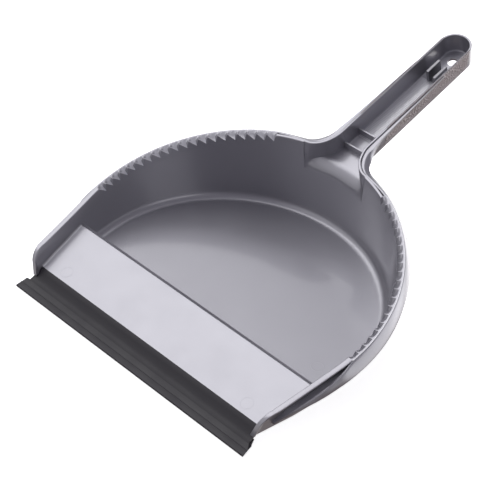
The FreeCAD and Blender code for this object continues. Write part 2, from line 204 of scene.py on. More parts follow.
class Piece:
    """A mesh built up from grid patches that share their edges."""

    def __init__(self):
        self.mesh = bmesh.new()

    def patch(self, rows, both=False, loop=False):
        """Faces over a grid of points; both adds the mirror image, loop joins the ends of each row."""
        for sign in (1, -1) if both else (1,):
            grid = [
                [self.mesh.verts.new(metres(Vector((point.x * sign, point.y, point.z)))) for point in row]
                for row in rows
            ]
            for one, two in zip(grid, grid[1:]):
                count = len(one)
                for index in range(count if loop else count - 1):
                    after = (index + 1) % count
                    self.mesh.faces.new((one[index], one[after], two[after], two[index]))

    def solid(self, rows, both=False):
        """A closed bar through closed sections."""
        self.patch(rows, both, loop=True)

    def done(self, name, material, stands_for, sharp=SHARP_ANGLE):
        bmesh.ops.remove_doubles(self.mesh, verts=self.mesh.verts, dist=2e-6)
        edges = [edge for edge in self.mesh.edges if edge.is_boundary]
        if edges:
            bmesh.ops.holes_fill(self.mesh, edges=edges, sides=0)
        loose = [vert for vert in self.mesh.verts if not vert.link_faces]
        bmesh.ops.delete(self.mesh, geom=loose, context="VERTS")
        bmesh.ops.recalc_face_normals(self.mesh, faces=self.mesh.faces)
        data = bpy.data.meshes.new(name)
        self.mesh.to_mesh(data)
        self.mesh.free()
        data.polygons.foreach_set("use_smooth", [True] * len(data.polygons))
        data.set_sharp_from_angle(angle=math.radians(sharp))
        data.materials.append(material)
        shape = bpy.data.objects.new(name, data)
        bpy.context.scene.collection.objects.link(shape)
        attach(shape, "root")
        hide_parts(*stands_for)
        return shape


def mirrored(rows, sign):
    return [[Vector((point.x * sign, point.y, point.z)) for point in row] for row in rows]


def soften(shape, width):
    """Rounds the sharp edges of a piece."""
    bevel = shape.modifiers.new("soft edges", "BEVEL")
    bevel.width = width / 1000
    bevel.segments = 3
    bevel.limit_method = "ANGLE"
    bevel.angle_limit = math.radians(35.0)
    bevel.harden_normals = True


# ---- materials -----------------------------------------------------------------------------------------


class Paint:
    """Short hand for a material's node tree."""

    def __init__(self, name):
        self.material = bpy.data.materials.new(name)
        self.material.use_nodes = True
        self.tree = self.material.node_tree
        self.shader = self.tree.nodes["Principled BSDF"]
        self.place = self.node("ShaderNodeTexCoord").outputs["Object"]

    def node(self, kind, inputs=(), **fields):
        made = self.tree.nodes.new(kind)
        for field, value in fields.items():
            setattr(made, field, value)
        for key, value in dict(inputs).items():
            if isinstance(value, bpy.types.NodeSocket):
                self.tree.links.new(value, made.inputs[key])
            else:
                made.inputs[key].default_value = value
        return made

    def noise(self, scale, detail=2.0, roughness=0.5):
        inputs = {"Vector": self.place, "Scale": scale, "Detail": detail, "Roughness": roughness}
        return self.node("ShaderNodeTexNoise", inputs).outputs["Fac"]

    def math(self, operation, first, second=0.0):
        return self.node("ShaderNodeMath", {0: first, 1: second}, operation=operation).outputs[0]

    def ranged(self, value, low, high, to_low, to_high):
        inputs = {"Value": value, "From Min": low, "From Max": high, "To Min": to_low, "To Max": to_high}
        return self.node("ShaderNodeMapRange", inputs).outputs["Result"]

    def blend(self, part, first, second):
        made = self.node("ShaderNodeMix", data_type="RGBA")
        self.tree.links.new(part, made.inputs["Factor"])
        made.inputs["A"].default_value = first
        made.inputs["B"].default_value = second
        return made.outputs["Result"]

    def layer(self, part, under, over):
        """A colour over the one already there."""
        made = self.node("ShaderNodeMix", data_type="RGBA")
        self.tree.links.new(part, made.inputs["Factor"])
        self.tree.links.new(under, made.inputs["A"])
        made.inputs["B"].default_value = over
        return made.outputs["Result"]

    def bump(self, height, depth, strength=1.0, under=None):
        inputs = {"Height": height, "Distance": depth, "Strength": strength}
        if under is not None:
            inputs["Normal"] = under
        return self.node("ShaderNodeBump", inputs).outputs["Normal"]

    def set(self, **inputs):
        for key, value in inputs.items():
            socket = self.shader.inputs[key.replace("_", " ")]
            if isinstance(value, bpy.types.NodeSocket):
                self.tree.links.new(value, socket)
            else:
                socket.default_value = value


# Rings, as (aside, ahead, radius, line width) in millimetres.
RINGS = ((83.0, 26.0, 4.1, 0.35), (86.6, 86.5, 4.0, 0.35), (0.0, 150.0, 1.2, 0.5))


def place_y(distance):
    """A distance along the pan as the frame's y, in metres."""
    return (distance + FRONT_EDGE) / 1000


def tool_marks(paint):
    """Rings left by the tool's ejector pins on the ramp and the floor, and the dot of the gate."""
    split = paint.node("ShaderNodeSeparateXYZ", {"Vector": paint.place})
    across = paint.math("ABSOLUTE", split.outputs["X"])
    total = 0.0
    for x, y, radius, width in RINGS:
        aside = paint.math("SUBTRACT", across, x / 1000)
        ahead = paint.math("SUBTRACT", split.outputs["Y"], place_y(y))
        squares = [paint.math("POWER", value, 2.0) for value in (aside, ahead)]
        far = paint.math("SQRT", paint.math("ADD", *squares))
        off = paint.math("ABSOLUTE", paint.math("SUBTRACT", far, radius / 1000))
        total = paint.math("ADD", total, paint.ranged(off, 0.0, width / 1000, 1.0, 0.0))
    return total


# The handle's grain and its channel's ribbing: where they run along the pan, in millimetres, and where they
# fade across it, in metres. The ribbed zone is also lightened as painted light, and the grain's zone is
# darkened partly as painted shade.
GRAIN_ALONG = (232.0, 318.0)
GRAIN_ACROSS = (0.0112, 0.0116)
RIBBED_ALONG = (228.5, 294.0)
RIBBED_ACROSS = (0.0088, 0.0092)


def stretch(paint, along, first, last, fade):
    """1 between two distances along the pan, 0 outside them. It rises over fade and falls over 1 mm."""
    start = paint.ranged(along, place_y(first), place_y(first + fade), 0.0, 1.0)
    stop = paint.ranged(along, place_y(last), place_y(last + 1.0), 1.0, 0.0)
    return paint.math("MULTIPLY", start, stop)


def grey_plastic(name, grip=False, painted_shade_scale=1.0, paint_flank_light=False):
    """Silver-grey moulded plastic: a faint metallic flow, fine orange peel and light handling marks. With
    grip the handle's sides have grain, their brown darkening partly painted shade, and the channel's ribbed
    floor is lightened as painted light; the teeth option paints light onto flanks of the teeth that face
    +X; a factor below 1 darkens the whole colour as painted shade."""
    paint = Paint(name)
    flow = paint.noise(9.0, 2.0, 0.5)
    tints = ((0.355, 0.35, 0.385), (0.385, 0.38, 0.418))
    # A scale below 1 darkens the tints as painted shade.
    colour = paint.blend(flow, *((*(value * painted_shade_scale for value in tint), 1) for tint in tints))
    wear = paint.noise(40.0, 3.0, 0.6)
    rough = paint.ranged(wear, 0.3, 0.7, 0.34, 0.40)
    peel = paint.bump(paint.noise(260.0, 1.0), 0.00001, 0.35)
    if grip:
        split = paint.node("ShaderNodeSeparateXYZ", {"Vector": paint.place})
        across = paint.math("ABSOLUTE", split.outputs["X"])
        side = paint.ranged(across, *GRAIN_ACROSS, 0.0, 1.0)
        grain = paint.node("ShaderNodeTexVoronoi", {"Vector": paint.place, "Scale": 620.0})
        mask = paint.math("MULTIPLY", side, stretch(paint, split.outputs["Y"], *GRAIN_ALONG, 1.0))
        height = paint.math("MULTIPLY", grain.outputs["Distance"], mask)
        peel = paint.bump(height, 0.0009, 1.0, peel)
        ribbing = paint.node(
            "ShaderNodeTexWave",
            {"Vector": paint.place, "Scale": 260.0, "Distortion": 2.0, "Detail": 2.0},
            bands_direction="Y",
        )
        inside = paint.ranged(across, *RIBBED_ACROSS, 1.0, 0.0)
        ribbed = paint.math("MULTIPLY", inside, stretch(paint, split.outputs["Y"], *RIBBED_ALONG, 0.5))
        rib_streaks_and_painted_light = paint.math("MULTIPLY", ribbing.outputs["Fac"], ribbed)
        peel = paint.bump(rib_streaks_and_painted_light, 0.00016, 1.0, peel)
        # Painted light: the ribbed floor is lightened, and its stripes more, standing in for the light and
        # shade over the ribs.
        for part, strength in ((ribbed, 0.50), (rib_streaks_and_painted_light, 0.65)):
            colour = paint.layer(paint.math("MULTIPLY", part, strength), colour, (0.8, 0.8, 0.84, 1))
        rough = paint.math("ADD", rough, paint.math("MULTIPLY", ribbed, 0.12))
        # The grain's zone is darkened brown: partly the grain's own tone, partly painted shade for the
        # shaded ground that the side reflects.
        colour = paint.layer(paint.math("MULTIPLY", mask, 0.55), colour, (0.27, 0.20, 0.19, 1))
    else:
        peel = paint.bump(tool_marks(paint), 0.00006, 1.0, peel)
    if paint_flank_light:
        # Painted light: flanks of the teeth that slope and face +X are lightened towards pale grey, as if
        # lit from that side.
        facing = paint.node("ShaderNodeTexCoord").outputs["Normal"]
        turned = paint.node("ShaderNodeSeparateXYZ", {"Vector": facing}).outputs
        painted_light_on_flanks = paint.ranged(turned["Z"], 0.35, 0.5, 0.0, 1.0)
        not_level = paint.ranged(turned["Z"], 0.8, 0.9, 1.0, 0.0)
        to_right = paint.ranged(turned["X"], -0.1, 0.1, 0.12, 1.0)
        for part in (not_level, to_right):
            painted_light_on_flanks = paint.math("MULTIPLY", painted_light_on_flanks, part)
        colour = paint.layer(painted_light_on_flanks, colour, (0.86, 0.86, 0.90, 1))
    paint.set(Base_Color=colour, Roughness=rough, Normal=peel)
    paint.set(Metallic=0.7, IOR=1.5, Coat_Weight=1.0, Coat_Roughness=0.10, Coat_IOR=1.6)
    return paint.material


def black_rubber():
    paint = Paint("black rubber")
    bloom = paint.noise(60.0, 4.0, 0.6)
    paint.set(Base_Color=paint.blend(bloom, (0.009, 0.007, 0.012, 1), (0.016, 0.013, 0.020, 1)))
    paint.set(Roughness=paint.ranged(bloom, 0.3, 0.7, 0.38, 0.5))
    paint.set(Normal=paint.bump(paint.noise(1500.0, 3.0), 0.00004, 0.6))
    return paint.material


plastic = grey_plastic("grey plastic")
grip_plastic = grey_plastic("grey plastic with grip grain and painted light and shade", grip=True)
# The teeth's plastic carries painted light on its flanks that face +X.
comb_plastic_painted_light = grey_plastic("grey plastic of the teeth with painted light", paint_flank_light=True)
# The clip's plastic is a darkened copy of the grey plastic: painted shade for the prongs, which stand in
# shadow.
clip_plastic_painted_shade = grey_plastic("grey plastic in the clip with painted shade", painted_shade_scale=0.55)
rubber = black_rubber()

# ---- pan tub -------------------------------------------------------------------------------------------

NECK_ANGLE = 76.9
NECK_STATION = NECK_ANGLE + math.degrees(TAPER)
BACK_STATION = 90 + math.degrees(TAPER)
comb_stations = [station_of(angle) for angle in COMB]
SETTLING = 1.6  # how soon the mouth's sides join the handle's own width
FLOOR_STEPS = 4
CORNER_STEPS = 9
WALL_STEPS = 8
NO_FLOOR = FLOOR_STEPS + CORNER_STEPS + 1
CROWN_RADIUS = 0.45
FRONT_BEAD = (-0.962, 0.012)  # station where the front end's rolled edge starts, and its fade


def outward_way(station):
    """Unit vector square to the outline, in plan."""
    angle = station - math.degrees(TAPER) if station >= 0 else -math.degrees(TAPER)
    turn = math.radians(angle)
    return Vector((math.cos(turn), math.sin(turn), 0))


def turned_corner(corner, one, two, radius):
    """Points of a rounded corner: one and two are unit vectors of travel before and after it."""
    turn = one.angle(two)
    reach = radius * math.tan(turn / 2)
    start = corner - one * reach
    square = (two - one * one.dot(two)).normalized()
    turns = [turn * step / CORNER_STEPS for step in range(CORNER_STEPS + 1)]
    return [start + one * radius * math.sin(part) + square * radius * (1 - math.cos(part)) for part in turns]


def wall_way(station, outward):
    return (wall_point(station, 30, outward) - wall_point(station, 10, outward)).normalized()


def foot_arc(station, outward, level, radius):
    """The rounded corner between the floor and the wall."""
    corner = wall_point(station, level, outward)
    return turned_corner(corner, outward_way(station), wall_way(station, outward), radius)


def neck_width(distance, radius):
    """Half width of the handle's mouth at a distance of its own frame."""
    reach = min(distance, NECK_CENTRE) - NECK_CENTRE
    return HANDLE_HALF + NECK_RADIUS - math.sqrt(max(radius**2 - reach**2, 1.0))


def channel_level(distance, depth):
    """Height of a plane under the rim plane at a distance along the pan."""
    return RIM[2] + SLOPE * (distance - RIM_LENGTH) - depth / math.cos(RISE)


def mouth_corner(station, outward, depth):
    height = RIM[1]
    for _ in range(20):
        height = channel_level(wall_point(station, height, outward).y, depth)
    return wall_point(station, height, outward)


def local_y(point):
    return (point.y - RIM_LENGTH) * math.cos(RISE) + (point.z - RIM[2]) * math.sin(RISE)


def mouth_path(station, outward, depth, inner_radius, blend):
    """From the wall over the rounded mouth and along the channel to the start of the handle."""
    corner = mouth_corner(station, outward, depth)
    edge = mouth_corner(NECK_STATION, outward, depth)
    share = corner.x / edge.x
    first = local_y(corner)
    flare = edge.x / neck_width(local_y(edge), inner_radius)

    def on_floor(distance):
        part = (distance - first) / (NECK_CENTRE - first)
        width = neck_width(distance, inner_radius) * mix(flare, 1.0, min(1.0, part * SETTLING))
        return from_handle(share * width, distance, -depth)

    up = wall_way(station, outward)
    ahead = (on_floor(first + 3) - on_floor(first)).normalized()
    turn = up.angle(ahead)
    reach = blend * math.tan(turn / 2)
    start = corner - up * reach
    stop = on_floor(first + reach)
    weight = math.cos(turn / 2)
    rounded = []
    for part in spread(0.0, 1.0, 10):
        a, b, c = (1 - part) ** 2, 2 * part * (1 - part) * weight, part**2
        rounded.append((start * a + corner * b + stop * c) / (a + b + c))
    run = [on_floor(value) for value in spread(first + reach, NECK_CENTRE, 12)]
    return rounded + run[1:]


INNER_MOUTH = (0.0, CHANNEL_DEPTH, NECK_RADIUS + HANDLE_WALL + DRAFT * CHANNEL_DEPTH, NECK_BLEND)
OUTER_MOUTH = (WALL, HANDLE_DEPTH, NECK_RADIUS + DRAFT * HANDLE_DEPTH, NECK_BLEND - HANDLE_WALL)


def mouth_level(station, mouth):
    """Height where the lower wall ends: at the rounded mouth near the handle, in step with it elsewhere."""
    outward, depth, radius, blend = mouth
    if station >= NECK_STATION:
        return mouth_path(station, outward, depth, radius, blend)[0].z
    edge = mouth_path(NECK_STATION, outward, depth, radius, blend)[0].z
    share = (edge - 10) / (rim_level(NECK_STATION, outward) - 10)
    return mix(10, rim_level(station, outward), share)


def has_floor(station):
    return wall_point(station, FLOOR, 0.0).y >= RAMP_BACK


def floor_station():
    """The first station behind the ramp."""
    low, high = -1.0, 0.0
    for _ in range(30):
        middle = (low + high) / 2
        low, high = (low, middle) if has_floor(middle) else (middle, high)
    return high


FIRST_FLOOR = floor_station()


def lower_inside(station):
    """Floor, rounded corner and lower wall, from the crest outward."""
    top = mouth_level(station, INNER_MOUTH)
    if not has_floor(station):
        base = wall_point(station, FLOOR, 0.0)
        for _ in range(8):
            base = wall_point(station, max(4.0, ramp_height(base.y) - 2.0), 0.0)
        heights = spread(base.z, max(top, base.z + 1), WALL_STEPS)
        return [base] * NO_FLOOR + [wall_point(station, height, 0.0) for height in heights]
    corner = foot_arc(station, 0.0, FLOOR, FLOOR_CORNER)
    along = (station - FIRST_FLOOR) / (BACK_STATION - FIRST_FLOOR)
    crest = Vector((corner[0].x * (1 - along) if along < 1 else 0.0, RAMP_BACK - 0.3, FLOOR))
    if station == FIRST_FLOOR:
        crest = corner[0].copy()
    floor = [crest.lerp(corner[0], part) for part in spread(0, 1, FLOOR_STEPS)]
    heights = spread(corner[-1].z, top, WALL_STEPS)
    return floor[:-1] + corner + [wall_point(station, height, 0.0) for height in heights]


def lower_outside(station):
    """Lower wall, rounded corner and underside, from the wall inward."""
    top = mouth_level(station, OUTER_MOUTH)
    if not has_floor(station):
        outward = edge_width(station)
        base = wall_point(station, 2.0, outward)
        for _ in range(8):
            base = wall_point(station, foot_height(base.y), outward)
        heights = spread(max(top, base.z + 1), base.z, WALL_STEPS)
        return [wall_point(station, height, outward) for height in heights] + [base] * NO_FLOOR
    corner = foot_arc(station, WALL, 0.0, FLOOR_CORNER + WALL)
    along = (station - FIRST_FLOOR) / (BACK_STATION - FIRST_FLOOR)
    crest = Vector((corner[0].x * (1 - along) if along < 1 else 0.0, RAMP_BACK - 0.3, 0.0))
    if station == FIRST_FLOOR:
        crest = corner[0].copy()
    floor = [corner[0].lerp(crest, part) for part in spread(0, 1, FLOOR_STEPS)]
    heights = spread(top, corner[-1].z, WALL_STEPS)
    return [wall_point(station, height, WALL) for height in heights] + corner[::-1] + floor[1:]


def crown(place, inner, outer, drop=0.0):
    """A rim's rounded top: place gives a point at an offset and a drop below the rim."""
    turns = spread(0, math.pi / 2, 3)
    steps = [
        (CROWN_RADIUS * (1 - math.cos(turn)), drop + CROWN_RADIUS * (1 - math.sin(turn)))
        for turn in turns
    ]
    first = [(inner + aside, below) for aside, below in steps]
    last = [(outer - aside, below) for aside, below in steps]
    return [place(outward, below) for outward, below in first + last[::-1]]


def edge_width(station):
    """Offset of the wall's outer face: a rolled edge runs down its front end."""
    part = min(1.0, max(0.0, (FRONT_BEAD[0] - station) / FRONT_BEAD[1]))
    return mix(WALL, BEAD_FRONT, part * part * (3 - 2 * part))


def bead_width(station):
    part = min(1.0, max(0.0, (station + 1.0) / 0.2))
    return mix(BEAD_FRONT, BEAD, part)


def upper_wall(station, drop=0.0, width=WALL):
    """Upper part of the wall; a width over the wall's own makes a rolled edge along the rim. Each face has
    a vertex at the shelf under the comb, so that rows with and without a drop share their edges."""

    def place(outward, below):
        return wall_point(station, rim_level(station, outward) - below, outward)

    top = crown(place, 0.0, width, drop)
    low_in = mouth_level(station, INNER_MOUTH)
    low_out = mouth_level(station, OUTER_MOUTH)
    shelf_in = max(low_in, place(0.0, UNDER_COMB + CROWN_RADIUS).z)
    inside = [wall_point(station, height, 0.0) for height in spread(low_in, shelf_in, 5)]
    under = edge_width(station)
    edge = [place(width, drop + BEAD_HEIGHT * 0.7), place(mix(width, under, 0.8), drop + BEAD_HEIGHT)]
    shelf_out = max(low_out, place(under, UNDER_COMB + BEAD_HEIGHT).z)
    outside = [wall_point(station, height, under) for height in spread(shelf_out, low_out, 5)]
    return inside + top + edge + outside


def web_rows():
    """The wall that turns from the pan's rim into the handle's side."""
    inner = mouth_path(NECK_STATION, *INNER_MOUTH)
    outer = mouth_path(NECK_STATION, *OUTER_MOUTH)
    first_inner = rim_at(NECK_STATION, 0.0)
    first_outer = rim_at(NECK_STATION, WALL)
    rows = []
    for low_in, low_out in zip(inner, outer):
        reach = local_y(inner[0]), local_y(outer[0])
        parts = [
            (local_y(low) - start) / (NECK_CENTRE - start)
            for low, start in zip((low_in, low_out), reach)
        ]

        def rim_place(outward, below, parts=parts):
            share = outward / WALL
            part = mix(parts[0], parts[1], share)
            foot = first_inner.lerp(first_outer, share)
            distance = mix(local_y(foot), NECK_CENTRE, part)
            radius = NECK_RADIUS + HANDLE_WALL * (1 - share)
            settled = mix(foot.x / neck_width(local_y(foot), radius), 1.0, min(1.0, part * SETTLING))
            plane = from_handle(neck_width(distance, radius) * settled, distance, 0.0)
            return Vector((plane.x, plane.y, rim_height(plane.y) - below))

        top = crown(rim_place, 0.0, WALL)
        inside = [low_in.lerp(top[0], step / 5) for step in range(5)]
        outside = [top[-1].lerp(low_out, step / 5) for step in range(1, 6)]
        rows.append(inside + top + outside)
    return rows


front_stations = [-1.0 + 0.19 * part**2 for part in spread(0, 1, 18)][:-1]
front_stations += spread(-0.81, FIRST_FLOOR - 0.004, 16)
floorless = len(front_stations) + 1
front_stations += spread(FIRST_FLOOR, 0.0, 10)[:-1] + spread(0.0, comb_stations[0], 5)
comb_run = spread(*comb_stations, 60)
plain_run = spread(comb_stations[1], NECK_STATION, 8)
neck_stations = spread(NECK_STATION, BACK_STATION, 14)

tub = Piece()
lower = front_stations + comb_run[1:] + plain_run[1:] + neck_stations[1:]
tub.patch([lower_inside(station) for station in lower], both=True)
tub.patch([lower_outside(station) for station in lower], both=True)
tub.patch([[lower_inside(s)[0], lower_outside(s)[-1]] for s in front_stations[:floorless]], both=True)
rim_rows = [upper_wall(station, 0.0, bead_width(station)) for station in front_stations]
rim_rows += [upper_wall(station, UNDER_COMB) for station in comb_run]
rim_rows += [upper_wall(station) for station in plain_run]
tub.patch(rim_rows, both=True)
tub.patch([mouth_path(station, *INNER_MOUTH) for station in neck_stations], both=True)
tub.patch([mouth_path(station, *OUTER_MOUTH) for station in neck_stations], both=True)
tub.patch(web_rows(), both=True)
tub.done("pan_tub_shell", plastic, stands_for=("pan_tub",))

# ---- comb edges ----------------------------------------------------------------------------------------


def comb_section(angle, notch):
    """Section of the toothed band: notch is 0 at a crest of the teeth and 1 in a valley."""
    station = station_of(angle)

    def place(outward, below):
        return wall_point(station, rim_level(station, outward) - below, outward)

    top = [(part * BAND, notch * TOOTH_DEPTH * (1 - part / 0.74)) for part in spread(0, 0.74, 4)]
    ring = [(0.0, UNDER_COMB + 0.6), (0.0, notch * TOOTH_DEPTH + 0.25)]
    ring += [(outward + 0.18 * (outward == 0), below) for outward, below in top]
    ring += [(BAND - 0.25, 0.0), (BAND, 0.3), (BAND, 2.2)]
    ring += [(BAND - 0.3, UNDER_COMB), (WALL, UNDER_COMB + 0.6)]
    return [place(outward, below) for outward, below in ring]


def comb(sign, name, node):
    pitch = (COMB[1] - COMB[0]) / TOOTH_COUNT
    rows = []
    for tooth in range(TOOTH_COUNT):
        first = COMB[0] + pitch * tooth
        for part, notch in TOOTH_SHAPE:
            rows.append(comb_section(first + pitch * part, notch))
    rows.append(comb_section(COMB[1], 0.0))
    piece = Piece()
    piece.solid(mirrored(rows, sign))
    piece.done(name, comb_plastic_painted_light, sharp=24.0, stands_for=(node,))


comb(1, "comb_teeth_right", "comb_edge_right")
comb(-1, "comb_teeth_left", "comb_edge_left")

# ---- skirt ---------------------------------------------------------------------------------------------


APRON = 1.25
SHELF = 1.2
SHELF_SHARE = 0.6

# The skirt's upper and lower edges by angle, as (outward, below the rim) from the inner face of the rim. It
# rises from low on the side wall to the comb's front end, follows the comb and closes in on the neck.
SKIRT_EDGES = (
    (-34.5, (0.2, 12.4), (0.3, 13.2)),
    (-31.0, (2.3, 9.4), (2.6, 10.6)),
    (-28.0, (3.7, 7.9), (4.3, 9.3)),
    (-24.0, (4.4, 7.1), (5.2, 9.7)),
    (-19.0, (5.2, 6.6), (6.2, 10.3)),
    (-13.5, (6.2, 5.2), (7.1, 10.2)),
    (-5.0, (6.0, 2.1), (8.0, 9.2)),
    (-1.0, (4.2, 0.4), (8.17, 8.8)),
    (15.0, (4.2, 0.4), (8.17, 9.6)),
    (45.0, (4.2, 0.4), (8.17, 8.5)),
    (67.0, (4.2, 0.4), (8.17, 6.6)),
    (76.9, (2.8, 0.7), (6.6, 3.2)),
)
# Beside the neck, by share of its turn, and then by distance along the handle, both from its outer face.
NECK_EDGES = (
    (0.0, (0.8, 0.7), (4.6, 3.2)),
    (0.25, (1.2, 0.8), (5.0, 2.9)),
    (0.6, (2.4, 0.9), (6.6, 3.9)),
    (0.8, (3.0, 0.8), (6.2, 4.4)),
    (1.0, (3.4, 0.6), (4.8, 4.6)),
)
HANDLE_EDGES = (
    (3.7, (3.4, 0.6), (4.8, 4.6)),
    (8.0, (3.0, 0.5), (3.4, 3.6)),
    (14.0, (2.4, 0.4), (2.6, 2.4)),
    (30.0, (1.7, 0.4), (1.9, 1.9)),
    (60.0, (0.9, 0.4), (1.0, 1.6)),
    (84.0, (0.3, 0.4), (0.35, 1.4)),
)


def read_edges(edges, place):
    for (start, *one), (stop, *two) in zip(edges, edges[1:]):
        if place <= stop or stop == edges[-1][0]:
            part = min(1.0, max(0.0, (place - start) / (stop - start)))
            return [mix(a, b, part) for first, last in zip(one, two) for a, b in zip(first, last)]


def between(edges, place, reach):
    """Upper and lower edge at a place, with the turns of the list rounded off over a reach."""
    before, here, after = (read_edges(edges, value) for value in (place - reach, place, place + reach))
    values = [(a + 2 * b + c) / 4 for a, b, c in zip(before, here, after)]
    return tuple(values[:2]), tuple(values[2:])


def skirt_section(base, way, top, low, wall_at, land=None):
    """Section of a sloping apron, and of the shelf under a trough that joins it to the wall."""

    def corner(outward, below):
        point = base + way * outward
        return Vector((point.x, point.y, rim_height(point.y) - below))

    thick = min(APRON, 0.7 * max(top[0] + 0.5, 0.5))
    outer = [corner(top[0] - 0.3, top[1])]
    if land is not None:
        thick = top[0] - land + 0.4
        outer = [corner(land, top[1] + 0.3), corner(mix(land, top[0], 0.7), top[1] + 0.05)]
    for part in spread(0.06, 0.97, 7):
        bulge = 0.38 * math.sin(math.pi * part) * min(1.0, (low[1] - top[1]) / 5)
        at_side = mix(top[0], low[0], part) + bulge * 0.9
        outer.append(corner(at_side, mix(top[1], low[1], part) - bulge * 0.4))
    shelf = top[1] + SHELF_SHARE * (low[1] - top[1])
    at_shelf = mix(top[0], low[0], SHELF_SHARE) - thick
    foot = [corner(low[0] - 0.05, low[1] + 0.35), corner(low[0] - 0.5, low[1] + 0.6)]
    foot.append(corner(low[0] - thick, low[1] + 0.4))
    inner = [corner(at_shelf, shelf + SHELF), corner(wall_at, shelf + SHELF), corner(wall_at, shelf)]
    inner += [corner(at_shelf, shelf), corner(top[0] - thick, top[1] + 0.5)]
    inner.append(corner(top[0] - thick + 0.2, top[1] + 0.1))
    return outer + foot + inner


def wall_offset(facing, below):
    """Offset of the wall's outer face below the rim: the wall draws in, and back, on its way down."""
    return WALL + below * (SLOPE * math.sin(facing) - WALL_GROWTH)


def skirt_rows():
    rows = []
    for angle in spread(SKIRT_EDGES[0][0], -1.0, 60)[:-1] + spread(-1.0, SKIRT_EDGES[-1][0], 90):
        station = station_of(angle)
        top, low = between(SKIRT_EDGES, angle, 1.6)
        facing = max(math.radians(angle), -TAPER)
        wall_at = wall_offset(facing, mix(top[1], low[1], SHELF_SHARE) + SHELF) - 0.9
        rows.append(skirt_section(rim_at(station, 0), outward_way(station), top, low, wall_at))
    for part in spread(0, 1, 24)[1:]:
        angle = math.pi + (1 - part) * (math.pi / 2 - NECK_TURN)
        centre = from_handle(HANDLE_HALF + NECK_RADIUS, NECK_CENTRE, 0.0)
        way = Vector((math.cos(angle), math.sin(angle), 0))
        top, low = between(NECK_EDGES, part, 0.1)
        rows.append(skirt_section(centre + way * NECK_RADIUS, -way, top, low, -0.5, land=0.5))
    for distance in spread(NECK_CENTRE, HANDLE_EDGES[-1][0], 40)[1:]:
        top, low = between(HANDLE_EDGES, distance, 2.0)
        base = from_handle(HANDLE_HALF, distance, 0.0)
        rows.append(skirt_section(base, Vector((1, 0, 0)), top, low, -0.5, min(0.5, top[0])))
    return rows


def skirt(sign, name, node):
    piece = Piece()
    piece.solid(mirrored(skirt_rows(), sign))
    piece.done(name, plastic, stands_for=(node,))


skirt(1, "skirt_apron_right", "skirt_right")
skirt(-1, "skirt_apron_left", "skirt_left")

# ---- handle --------------------------------------------------------------------------------------------


def handle_station(part):
    """Plan position and outward way at a share of the handle's outline: the side, then the round end."""
    straight = HANDLE_END - NECK_CENTRE
    if part <= 0.5:
        return Vector((HANDLE_HALF, NECK_CENTRE + straight * part * 2, 0)), Vector((1, 0, 0))
    turn = (part - 0.5) * math.pi
    way = Vector((math.cos(turn), math.sin(turn), 0))
    return Vector((0, HANDLE_END, 0)) + way * HANDLE_HALF, way


def handle_section(part):
    """From the middle of the channel's floor up over the rim and down to the middle of the underside."""
    base, way = handle_station(part)

    def place(inward, below):
        point = base - way * (inward + DRAFT * below)
        return from_handle(point.x, point.y, -below)

    middle = Vector((0, base.y, 0)) if part <= 0.5 else Vector((0, HANDLE_END, 0))
    ring = []
    corner = 1.2
    for turn in spread(0, math.pi / 2, 5):
        inward = HANDLE_WALL + corner * (1 - math.sin(turn))
        ring.append(place(inward, CHANNEL_DEPTH - corner * (1 - math.cos(turn))))
    ring += [place(HANDLE_WALL, below) for below in spread(CHANNEL_DEPTH - corner, CROWN_RADIUS, 5)[1:-1]]
    ring += crown(lambda outward, below: place(HANDLE_WALL - outward, below), 0.0, HANDLE_WALL)
    foot = 0.9
    ring += [place(0.0, below) for below in spread(CROWN_RADIUS, HANDLE_DEPTH - foot, 5)[1:-1]]
    for turn in spread(0, math.pi / 2, 6):
        ring.append(place(foot * (1 - math.cos(turn)), HANDLE_DEPTH - foot * (1 - math.sin(turn))))
    inside = from_handle(middle.x, middle.y, -CHANNEL_DEPTH)
    outside = from_handle(middle.x, middle.y, -HANDLE_DEPTH)
    floor = [inside.lerp(ring[0], share) for share in (0, 0.5)]
    under = [ring[-1].lerp(outside, share) for share in (0.5, 1)]
    return floor + ring + under


handle = Piece()
handle.patch([handle_section(part) for part in spread(0, 0.5, 40) + spread(0.5, 1, 24)[1:]], both=True)
handle_channel = handle.done("handle_channel_grip", grip_plastic, stands_for=("handle_channel",))


def drill_ring(depth):
    """A ring of the drill for the hanging hole, which stands square to the handle's floor."""
    turns = spread(0, 2 * math.pi, 48)[:-1]
    across = [(EYE_RADIUS * math.cos(turn), EYE_PLACE + EYE_RADIUS * math.sin(turn)) for turn in turns]
    return [from_handle(x, y, depth) for x, y in across]


drill_piece = Piece()
drill_piece.solid([drill_ring(-30.0), drill_ring(-5.0)])
bmesh.ops.holes_fill(drill_piece.mesh, edges=[e for e in drill_piece.mesh.edges if e.is_boundary], sides=0)
bmesh.ops.recalc_face_normals(drill_piece.mesh, faces=drill_piece.mesh.faces)
drill_data = bpy.data.meshes.new("drill")
drill_piece.mesh.to_mesh(drill_data)
drill = bpy.data.objects.new("drill", drill_data)
bpy.context.scene.collection.objects.link(drill)
cut = handle_channel.modifiers.new("hanging hole", "BOOLEAN")
cut.operation = "DIFFERENCE"
cut.solver = "EXACT"
cut.object = drill
bpy.context.view_layer.objects.active = handle_channel
handle_channel.select_set(True)
bpy.ops.object.modifier_apply(modifier="hanging hole")
bpy.data.objects.remove(drill)
handle_channel.data.set_sharp_from_angle(angle=math.radians(SHARP_ANGLE))

# ---- ribs and clip -------------------------------------------------------------------------------------


def block(name, node, corners, top, soft, material=plastic):
    """An upright block in the handle, from (x, y) corners at the floor to the same corners at its top."""
    piece = Piece()
    low = [from_handle(x, y, -CHANNEL_DEPTH - 0.5) for x, y in corners]
    high = [from_handle(x * 0.99, y, -CHANNEL_DEPTH + top) for x, y in corners]
    piece.solid([low, high])
    shape = piece.done(name, material, stands_for=(node,))
    soften(shape, soft)


